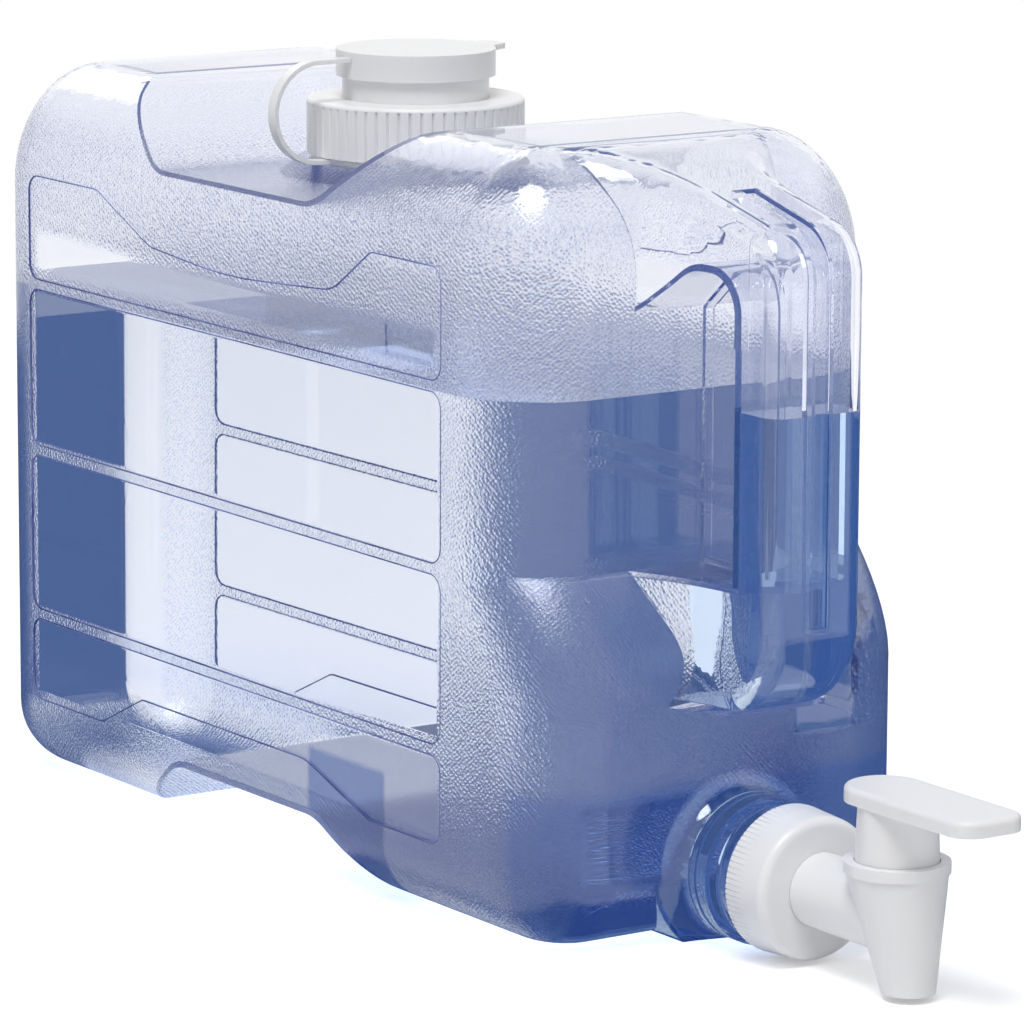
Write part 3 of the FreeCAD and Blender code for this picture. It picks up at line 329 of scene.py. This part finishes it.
def front_bands(tree, split):
    """Two pebbled bands across the smooth front wall, level at the left and falling to the right."""
    bent = add(tree, "ShaderNodeMath", operation="ADD")
    join(tree, split, "X", bent, 0)
    bent.inputs[1].default_value = 0.036
    right_part = add(tree, "ShaderNodeMath", operation="MAXIMUM")
    join(tree, bent, 0, right_part, 0)
    right_part.inputs[1].default_value = 0.0
    along = add(tree, "ShaderNodeMath", operation="MULTIPLY_ADD")
    join(tree, right_part, 0, along, 0)
    along.inputs[1].default_value = 0.35
    join(tree, split, "Z", along, 2)
    wall = window(tree, split, {"X": (-0.057, 0.030), "Y": (y_of(-3), y_of(2))}, 0.5 * MM)
    strips = []
    for low, high in ((0.1334, 0.1376), (0.1400, 0.1448)):
        strip = add(tree, "ShaderNodeGroup", node_tree=SOFT_RANGE, Low=low, High=high, Fade=0.4 * MM)
        join(tree, along, 0, strip, "Value")
        strips.append(strip)
    both = add(tree, "ShaderNodeMath", operation="MULTIPLY")
    join(tree, either(tree, strips), 0, both, 0)
    join(tree, wall, 0, both, 1)
    return both


def clear_plastic():
    material, tree, shader = new_material("clear_plastic")
    shader.inputs["Transmission Weight"].default_value = 1.0
    shader.inputs["IOR"].default_value = PLASTIC_REFRACTION
    coords = add(tree, "ShaderNodeTexCoord")
    split = add(tree, "ShaderNodeSeparateXYZ")
    join(tree, coords, "Object", split, 0)
    panel_y = (y_of(34.5), y_of(260.5))
    smooth_places = [
        window(tree, split, {"Y": panel_y, "Z": (0.0255, 0.0495)}, 1 * MM),
        window(tree, split, {"Y": panel_y, "Z": (0.0525, 0.1011)}, 1 * MM),
        window(tree, split, {"Y": panel_y, "Z": (0.1041, 0.1525)}, 1 * MM),
        window(tree, split, {"Y": panel_y, "Z": (0.1555, 0.1720)}, 4 * MM),
        window(tree, split, {"X": (-0.056, 0.056), "Y": (y_of(-60), y_of(1.5)), "Z": (0.108, 0.24)}, 2 * MM),
        window(tree, split, {"X": (0.020, 0.053), "Y": (y_of(-60), y_of(1.5)), "Z": (0.054, 0.100)}, 1 * MM),
        window(tree, split, {"X": (-0.052, 0.004), "Y": (y_of(-60), y_of(1.5)), "Z": (-0.1, 0.044)}, 3 * MM),
        window(tree, split, {"Y": (y_of(-60), y_of(-18.5))}, 1 * MM),
        window(tree, split, {"X": (-0.056, 0.056), "Y": (y_of(278), y_of(300)), "Z": (0.010, 0.175)}, 2 * MM),
        window(tree, split, {"Z": (0.2, 0.3)}, 12 * MM),
    ]
    smooth = either(tree, smooth_places)
    plain = add(tree, "ShaderNodeMath", operation="SUBTRACT")
    plain.inputs[0].default_value = 1.0
    join(tree, smooth, 0, plain, 1)
    rough = either(tree, [plain, front_bands(tree, split)])
    tilted = add(tree, "ShaderNodeMapping")
    tilted.inputs["Rotation"].default_value = (0.65, 0.40, 0.72)
    join(tree, coords, "Object", tilted, "Vector")
    cells = add(tree, "ShaderNodeTexVoronoi", Scale=1 / PEBBLE_SIZE, Randomness=0.55)
    join(tree, tilted, "Vector", cells, "Vector")
    height = add(tree, "ShaderNodeMath", operation="MULTIPLY")
    join(tree, cells, "Distance", height, 0)
    join(tree, rough, 0, height, 1)
    bump = add(tree, "ShaderNodeBump", Strength=0.8, Distance=PEBBLE_DEPTH)
    join(tree, height, 0, bump, "Height")
    join(tree, bump, "Normal", shader, "Normal")
    gloss = add(tree, "ShaderNodeMapRange", To_Min=0.015, To_Max=0.20)
    join(tree, rough, 0, gloss, "Value")
    join(tree, gloss, "Result", shader, "Roughness")
    # Painted shade: the pits of the pebbles are tinted blue.
    dots = add(tree, "ShaderNodeMapRange", From_Min=0.46, From_Max=0.20)
    join(tree, cells, "Distance", dots, "Value")
    painted_pit_shade = add(tree, "ShaderNodeMath", operation="MULTIPLY")
    join(tree, dots, "Result", painted_pit_shade, 0)
    join(tree, rough, 0, painted_pit_shade, 1)
    empty = window(tree, split, {"Z": (0.1535, 0.5)}, 2 * MM)
    # Painted shade in the base colour: faint blue above the water, blue in the pits, navy on the panel steps.
    tint_layers(tree, shader, (0.996, 0.998, 1.0, 1), [
        (empty, (0.962, 0.970, 0.999, 1)),
        (painted_pit_shade, (0.66, 0.74, 0.93, 1)),
        (painted_step_shade(tree, split), (0.13, 0.15, 0.52, 1)),
    ])
    let_light_through(material, tree, shader, (0.90, 0.92, 0.97, 1))
    absorb(tree, (0.35, 0.42, 0.92, 1), 15.0)
    return material


CLEAR_PLASTIC = clear_plastic()

# %% [markdown]
# ## The bottle's skin
#
# The model's mesh is loose triangles. Clear plastic would show every one of them, so the bottle is shown
# as a copy whose triangles are joined, shaded smoothly, with creases kept where the real mould has them.
# Weighted normals keep the large flat walls flat where they meet a rounding.

# %% The bottle's skin
CREASE_DEGREES = 28


def smooth_with_creases(work):
    for face in work.faces:
        face.smooth = True
    for edge in work.edges:
        bent = len(edge.link_faces) == 2 and edge.calc_face_angle() > math.radians(CREASE_DEGREES)
        edge.smooth = not bent


def joined_copy(node, name):
    """A copy of a model node with its triangles joined and its creases kept."""
    mesh = nodes[node].data.copy()
    mesh.name = name
    for stale in ("custom_normal",):
        if stale in mesh.attributes:
            mesh.attributes.remove(mesh.attributes[stale])
    work = bmesh.new()
    work.from_mesh(mesh)
    bmesh.ops.remove_doubles(work, verts=work.verts, dist=1e-6)
    smooth_with_creases(work)
    work.to_mesh(mesh)
    work.free()
    return bpy.data.objects.new(name, mesh)


bottle = show(joined_copy("bottle", "bottle_clear"))
even = bottle.modifiers.new("even_shading", "WEIGHTED_NORMAL")
even.keep_sharp = True
dress(bottle, CLEAR_PLASTIC)
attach(bottle, "bottle")
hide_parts("bottle")
print("bottle has", len(bottle.data.polygons), "triangles")

# %% [markdown]
# ## Painted navy shade round the panels
#
# The let-in panels of the two sides look edged with thin dark lines, where the wall turns and gathers the
# blue of everything behind it. That shade is painted here, as a thin navy bead. It could be drawn in the
# material, but only a line that follows the real edge stays sharp. So the outer edges of the panels are
# picked from the bottle's mesh, and Geometry Nodes run a thin round bead along them, just inside the wall.

# %% The panels' edges
LINE_RADIUS = 0.24 * MM
LINE_SINK = 0.27 * MM
LINE_SIDES = 6


def is_panel_edge(edge):
    """An outer edge between a side wall and the small step round a panel."""
    middle = (edge.verts[0].co + edge.verts[1].co) / 2
    side = math.copysign(1, middle.x)
    if abs(middle.x) < 62 * MM or not y_of(31) < middle.y < y_of(264) or not 0.0215 < middle.z < 0.190:
        return False
    if len(edge.link_faces) != 2 or not edge.is_convex:
        return False
    turned = sorted(face.normal.x * side for face in edge.link_faces)
    return turned[1] > 0.8 and abs(turned[0]) < 0.5


def panel_edges():
    work = bmesh.new()
    work.from_mesh(bottle.data)
    picked = [e for e in work.edges if is_panel_edge(e)]
    places = {}
    points = []
    pairs = []
    for edge in picked:
        pair = []
        for vertex in edge.verts:
            if vertex.index not in places:
                places[vertex.index] = len(points)
                points.append(vertex.co - Vector((math.copysign(LINE_SINK, vertex.co.x), 0, 0)))
            pair.append(places[vertex.index])
        pairs.append(tuple(pair))
    work.free()
    mesh = bpy.data.meshes.new("panel_edges")
    mesh.from_pydata(points, pairs, [])
    print("edges round the panels:", len(pairs))
    return mesh


# %% A bead along the edges, by Geometry Nodes
def bead_nodes(material):
    tree = bpy.data.node_groups.new("bead_along_edges", "GeometryNodeTree")
    face = tree.interface
    face.new_socket("Edges", in_out="INPUT", socket_type="NodeSocketGeometry")
    radius = face.new_socket("Radius", in_out="INPUT", socket_type="NodeSocketFloat")
    sides = face.new_socket("Sides", in_out="INPUT", socket_type="NodeSocketInt")
    face.new_socket("Bead", in_out="OUTPUT", socket_type="NodeSocketGeometry")
    inside = tree.nodes.new("NodeGroupInput")
    outside = tree.nodes.new("NodeGroupOutput")
    path = tree.nodes.new("GeometryNodeMeshToCurve")
    ring = tree.nodes.new("GeometryNodeCurvePrimitiveCircle")
    bead = tree.nodes.new("GeometryNodeCurveToMesh")
    real = tree.nodes.new("GeometryNodeRealizeInstances")
    paint = tree.nodes.new("GeometryNodeSetMaterial")
    bead.inputs["Fill Caps"].default_value = True
    paint.inputs["Material"].default_value = material
    join(tree, inside, "Edges", path, "Mesh")
    join(tree, inside, "Radius", ring, "Radius")
    join(tree, inside, "Sides", ring, "Resolution")
    join(tree, path, "Curve", bead, "Curve")
    join(tree, ring, "Curve", bead, "Profile Curve")
    join(tree, bead, "Mesh", real, "Geometry")
    join(tree, real, "Geometry", paint, "Geometry")
    join(tree, paint, "Geometry", outside, "Bead")
    return tree, radius.identifier, sides.identifier


def painted_navy_shade():
    material, tree, shader = new_material("painted_navy_shade")
    shader.inputs["Roughness"].default_value = 0.35
    coords = add(tree, "ShaderNodeTexCoord")
    uneven = add(tree, "ShaderNodeTexNoise", Scale=55.0, Detail=2.0)
    join(tree, coords, "Object", uneven, "Vector")
    spread = add(tree, "ShaderNodeMapRange", From_Min=0.35, From_Max=0.65)
    join(tree, uneven, "Fac", spread, "Value")
    # Painted shade: the bead's navy stands for the dark turn of the clear wall.
    mix = add(tree, "ShaderNodeMix", data_type="RGBA")
    mix.inputs["A"].default_value = (0.035, 0.045, 0.22, 1)
    mix.inputs["B"].default_value = (0.16, 0.20, 0.46, 1)
    join(tree, spread, "Result", mix, "Factor")
    tree.links.new(mix.outputs["Result"], shader.inputs["Base Color"])
    return material


def follow_edges(name, mesh, material):
    guide = show(bpy.data.objects.new(name + "_guide", mesh))
    tree, radius, sides = bead_nodes(material)
    maker = guide.modifiers.new("bead", "NODES")
    maker.node_group = tree
    maker[radius] = LINE_RADIUS
    maker[sides] = LINE_SIDES
    seen = guide.evaluated_get(bpy.context.evaluated_depsgraph_get())
    beads = bpy.data.meshes.new_from_object(seen)
    beads.name = name
    bpy.data.objects.remove(guide)
    return show(bpy.data.objects.new(name, beads))


panel_shade_lines = follow_edges("panel_shade_lines", panel_edges(), painted_navy_shade())
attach(panel_shade_lines, "bottle")
print("panel lines:", len(panel_shade_lines.data.polygons), "faces")

# %% [markdown]
# ## Water
#
# The water takes the shape of the hollow, up to its level. The bottle's mesh is cut through at the water
# level and at the mouth of the spigot: that parts its outer skin from its inner skin, and the inner skin
# closed with two flat lids is the water. A boolean would do the same, but slower. The water is then grown
# a little into the wall: with a film of air between them, the renderer would show a silver skin.

# %% Water
WATER_LEVEL = 152.8
WATER_OVERLAP = 0.35
SPIGOT_MOUTH = -47.8
SPIGOT_ZONE = 60.0


def cut_away(work, low_enough, point, direction):
    """Cut the part of a mesh that low_enough picks out, and drop what lies beyond the plane."""
    verts = [v for v in work.verts if low_enough(v)]
    chosen = set(verts)
    edges = [e for e in work.edges if set(e.verts) <= chosen]
    faces = [f for f in work.faces if set(f.verts) <= chosen]
    bmesh.ops.bisect_plane(work, geom=verts + edges + faces, plane_co=point, plane_no=direction, clear_outer=True)


def islands(work):
    """The groups of connected vertices of a mesh."""
    left = set(work.verts)
    groups = []
    while left:
        group = {left.pop()}
        front = list(group)
        while front:
            here = front.pop()
            fresh = {edge.other_vert(here) for edge in here.link_edges} & left
            left -= fresh
            group |= fresh
            front.extend(fresh)
        groups.append(group)
    return groups


def fill_bottle():
    level = WATER_LEVEL * MM
    work = bmesh.new()
    work.from_mesh(bottle.data)
    cut_away(work, lambda v: True, (0, 0, level), (0, 0, 1))
    cut_away(work, lambda v: v.co.z < SPIGOT_ZONE * MM, at(0, SPIGOT_MOUTH, 0), (0, -1, 0))
    for group in islands(work):
        if min(v.co.x for v in group) < bottle_low.x + MM:
            bmesh.ops.delete(work, geom=list(group), context="VERTS")
    rims = [e for e in work.edges if e.is_boundary]
    lids = bmesh.ops.holes_fill(work, edges=rims, sides=0)["faces"]
    flat = bmesh.ops.triangulate(work, faces=lids)["faces"]
    bmesh.ops.recalc_face_normals(work, faces=work.faces)
    flat = set(flat)
    for vertex in work.verts:
        outward = [f.normal for f in vertex.link_faces if f not in flat]
        vertex.co += sum(outward, Vector()).normalized() * WATER_OVERLAP * MM
    smooth_with_creases(work)
    print("water:", round(work.calc_volume() * 1000, 2), "litres, in", len(lids), "lids")
    mesh = bpy.data.meshes.new("water")
    work.to_mesh(mesh)
    work.free()
    return show(bpy.data.objects.new("water", mesh))


water = fill_bottle()
level_shading = water.modifiers.new("even_shading", "WEIGHTED_NORMAL")
level_shading.keep_sharp = True

# %% [markdown]
# Water bends light less than plastic does, and a body of it this long is plainly blue. The colour is
# absorption again, so the short way through the spigot is light and the long way through the body is deep.
# Over that, its base colour carries painted blue shade low at the front, in the spigot and along the arch,
# and a painted grey-blue shade at the water level.

# %% Water's material
def water_material():
    material, tree, shader = new_material("water")
    coords = add(tree, "ShaderNodeTexCoord")
    split = add(tree, "ShaderNodeSeparateXYZ")
    join(tree, coords, "Object", split, 0)
    # Painted shade: the water's base colour is tinted blue low at the front, in the spigot and along the slope of
    # the arch.
    painted_shade_spigot = window(tree, split, {"Y": (y_of(-70), y_of(-17.5))}, 2 * MM)
    painted_shade_low_front = window(tree, split, {"Y": (y_of(-70), y_of(4)), "Z": (-0.01, 0.047)}, 4 * MM)
    painted_shade_arch = window(tree, split, {"Y": (y_of(62), y_of(104)), "Z": (-0.01, 0.040)}, 2 * MM)
    # Painted shade: a grey-blue band at the water level.
    surface = window(tree, split, {"Z": ((WATER_LEVEL - 0.6) * MM, 1.0)}, 0.3 * MM)
    tint_layers(tree, shader, (1, 1, 1, 1), [
        (painted_shade_low_front, (0.50, 0.72, 1.0, 1)),
        (painted_shade_spigot, (0.62, 0.81, 1.0, 1)),
        (painted_shade_arch, (0.18, 0.30, 0.64, 1)),
        (surface, (0.80, 0.84, 0.94, 1)),
    ])
    shader.inputs["Roughness"].default_value = 0.0
    shader.inputs["Transmission Weight"].default_value = 1.0
    shader.inputs["IOR"].default_value = 1.33
    let_light_through(material, tree, shader, (0.80, 0.87, 0.97, 1))
    absorb(tree, (0.30, 0.55, 0.95, 1), 0.8)
    return material


dress(water, water_material())
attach(water, "bottle")

# %% [markdown]
# ## White and milky plastics
#
# The ring, the nut and the tap are injection-moulded in opaque white with a satin surface. A slow noise
# moves the roughness and a finer one gives the faint orange peel of a polished mould. The lid, its strap
# and the spout are the natural colour of the same plastic, which lets some light through.

# %% White and milky plastics
def moulded_plastic(name, color, roughness, clear):
    material, tree, shader = new_material(name)
    shader.inputs["Transmission Weight"].default_value = clear
    shader.inputs["IOR"].default_value = 1.5
    shader.inputs["Subsurface Weight"].default_value = 0.25
    shader.inputs["Subsurface Radius"].default_value = (1.0, 1.0, 1.0)
    shader.inputs["Subsurface Scale"].default_value = 0.0015
    coords = add(tree, "ShaderNodeTexCoord")
    slow = add(tree, "ShaderNodeTexNoise", Scale=60.0, Detail=3.0)
    join(tree, coords, "Object", slow, "Vector")
    gloss = add(tree, "ShaderNodeMapRange", To_Min=roughness - 0.06, To_Max=roughness + 0.06)
    join(tree, slow, "Fac", gloss, "Value")
    join(tree, gloss, "Result", shader, "Roughness")
    tint = add(tree, "ShaderNodeMix", data_type="RGBA")
    tint.inputs["A"].default_value = (*(c * 0.97 for c in color), 1)
    tint.inputs["B"].default_value = (*color, 1)
    join(tree, slow, "Fac", tint, "Factor")
    tree.links.new(tint.outputs["Result"], shader.inputs["Base Color"])
    peel = add(tree, "ShaderNodeTexNoise", Scale=900.0, Detail=2.0)
    join(tree, coords, "Object", peel, "Vector")
    bump = add(tree, "ShaderNodeBump", Strength=0.12, Distance=0.03 * MM)
    join(tree, peel, "Fac", bump, "Height")
    join(tree, bump, "Normal", shader, "Normal")
    return material


WHITE_PLASTIC = moulded_plastic("white_plastic", (0.86, 0.86, 0.87), 0.34, 0.0)
MILKY_PLASTIC = moulded_plastic("milky_plastic", (0.93, 0.935, 0.95), 0.30, 0.12)
SEAL_RUBBER = moulded_plastic("seal_rubber", (0.70, 0.70, 0.71), 0.55, 0.0)

for node in ("screw_ring", "tap_nut", "tap_body", "tap_plug"):
    dress(nodes[node], WHITE_PLASTIC)
for node in ("pour_lid", "pour_spout"):
    dress(nodes[node], MILKY_PLASTIC)
for node in ("filler_seal", "tap_seal", "plug_oring"):
    dress(nodes[node], SEAL_RUBBER)

# %% [markdown]
# ## The lid's strap
#
# The strap ties the lid to a collar under the ring. When the lid rises, the collar stays and the loop
# follows. Here the strap is a copy of the model's strap with its triangles joined and its creases kept,
# in the milky plastic, in place of the model's piece.

# %% The strap, as a smooth copy
strap = show(joined_copy("lid_strap", "strap_soft"))
dress(strap, MILKY_PLASTIC)
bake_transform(strap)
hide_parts("lid_strap")
print("strap has", len(strap.data.vertices), "points")

# %% [markdown]
# ## Studio
#
# A clear object shows its surroundings more than itself. The background and the floor are white, as in
# the photograph, and large soft lamps light the white parts. The blue areas of the real bottle are the
# dark sides of the studio, seen through the water after one or two bounces inside it. So two low blue
# boards stand at the right and behind it, and three cards of the same blue lie on the floor before them
# and under the front foot. All are out of sight of the camera, and only the clear parts pick them up.

# %% World and floor
def world():
    made = bpy.data.worlds.new("studio")
    made.use_nodes = True
    tree = made.node_tree
    background = next(n for n in tree.nodes if n.type == "BACKGROUND")
    background.inputs["Color"].default_value = (1, 1, 1, 1)
    path = add(tree, "ShaderNodeLightPath")
    seen = add(tree, "ShaderNodeMath", operation="MAXIMUM")
    join(tree, path, "Is Camera Ray", seen, 0)
    join(tree, path, "Is Transmission Ray", seen, 1)
    shown = add(tree, "ShaderNodeMath", operation="MAXIMUM")
    join(tree, seen, 0, shown, 0)
    join(tree, path, "Is Glossy Ray", shown, 1)
    strength = add(tree, "ShaderNodeMapRange", To_Min=0.35, To_Max=1.0)
    join(tree, shown, 0, strength, "Value")
    join(tree, strength, "Result", background, "Strength")
    scene.world = made


world()

floor_mesh = bpy.data.meshes.new("floor")
FLOOR_RADIUS = 1.1
FLOOR_CORNERS = 64
rim = [math.tau * i / FLOOR_CORNERS for i in range(FLOOR_CORNERS)]
rim_points = [(FLOOR_RADIUS * math.cos(t), FLOOR_RADIUS * math.sin(t), 0) for t in rim]
floor_mesh.from_pydata(rim_points, [], [tuple(range(FLOOR_CORNERS))])
floor = show(bpy.data.objects.new("floor", floor_mesh))
floor_paint, floor_tree, floor_shader = new_material("floor")
floor_shader.inputs["Base Color"].default_value = (0.94, 0.94, 0.95, 1)
floor_shader.inputs["Roughness"].default_value = 0.9
floor_shader.inputs["Emission Color"].default_value = (1, 1, 1, 1)
floor_path = add(floor_tree, "ShaderNodeLightPath")
floor_seen = add(floor_tree, "ShaderNodeMath", operation="MAXIMUM")
join(floor_tree, floor_path, "Is Camera Ray", floor_seen, 0)
join(floor_tree, floor_path, "Is Transmission Ray", floor_seen, 1)
floor_glow = add(floor_tree, "ShaderNodeMapRange", To_Min=0.0, To_Max=0.35)
join(floor_tree, floor_seen, 0, floor_glow, "Value")
join(floor_tree, floor_glow, "Result", floor_shader, "Emission Strength")
dress(floor, floor_paint)

# %% [markdown]
# The boards only exist for reflected and refracted rays, so they neither block a lamp nor show in the
# picture. They stand close: light leaves the bottle slanting down, and would meet the white floor first
# if they stood further off. The one at the right is seen after a bounce off the rear wall, and the one at
# the rear after a bounce off the right side.

# %% Slate-blue boards
BOARD_COLOR = (0.008, 0.045, 0.170, 1)
BOARDS = {
    "board_right": ((0.23, -0.10, 0.055), (0.50, 0.115), (-1, 0, 0)),
    "board_rear": ((-0.13, 0.35, 0.055), (0.42, 0.115), (0, -1, 0)),
    "card_right": ((0.146, -0.065, 0.0003), (0.172, 0.47), (0, 0, 1)),
    "card_rear": ((-0.13, 0.262, 0.0003), (0.42, 0.182), (0, 0, 1)),
    "card_under": ((0.0, -0.045, 0.0003), (0.14, 0.13), (0, 0, 1)),
}


def board(name, place, size, faces):
    mesh = bpy.data.meshes.new(name)
    wide, tall = size[0] / 2, size[1] / 2
    mesh.from_pydata([(-wide, -tall, 0), (wide, -tall, 0), (wide, tall, 0), (-wide, tall, 0)], [], [(0, 1, 2, 3)])
    piece = show(bpy.data.objects.new(name, mesh))
    turned = Vector(faces).to_track_quat("Z", "Y").to_matrix().to_4x4()
    piece.matrix_world = Matrix.Translation(Vector(place)) @ turned
    paint, tree, shader = new_material(name)
    shader.inputs["Base Color"].default_value = (0, 0, 0, 1)
    shader.inputs["Emission Color"].default_value = BOARD_COLOR
    shader.inputs["Emission Strength"].default_value = 1.0
    shader.inputs["Roughness"].default_value = 1.0
    dress(piece, paint)
    piece.visible_camera = False
    piece.visible_diffuse = False
    piece.visible_shadow = False


for name, (place, size, faces) in BOARDS.items():
    board(name, place, size, faces)


# %% Lamps
def lamp(name, place, size, power):
    data = bpy.data.lights.new(name, "AREA")
    data.shape = "DISK"
    data.size = size
    data.energy = power
    light = show(bpy.data.objects.new(name, data))
    aim = Vector((0, -0.05, 0.1)) - Vector(place)
    light.matrix_world = Matrix.Translation(Vector(place)) @ aim.to_track_quat("-Z", "Y").to_matrix().to_4x4()
    return light


lamp("key_lamp", (-0.8, -0.7, 2.2), 1.2, 34)
lamp("fill_lamp", (1.6, -1.1, 1.2), 1.4, 3)
lamp("rear_lamp", (0.3, 1.7, 1.4), 1.2, 4)

# %% [markdown]
# ## Last settings
#
# Light goes through up to eight walls of plastic and water here, so the renderer may follow it that far.
# Colours are shown plainly, with the Standard view.

# %% Last settings
scene.view_settings.view_transform = "Standard"
scene.cycles.max_bounces = 12
scene.cycles.transmission_bounces = 12
scene.cycles.glossy_bounces = 12
scene.cycles.transparent_max_bounces = 12
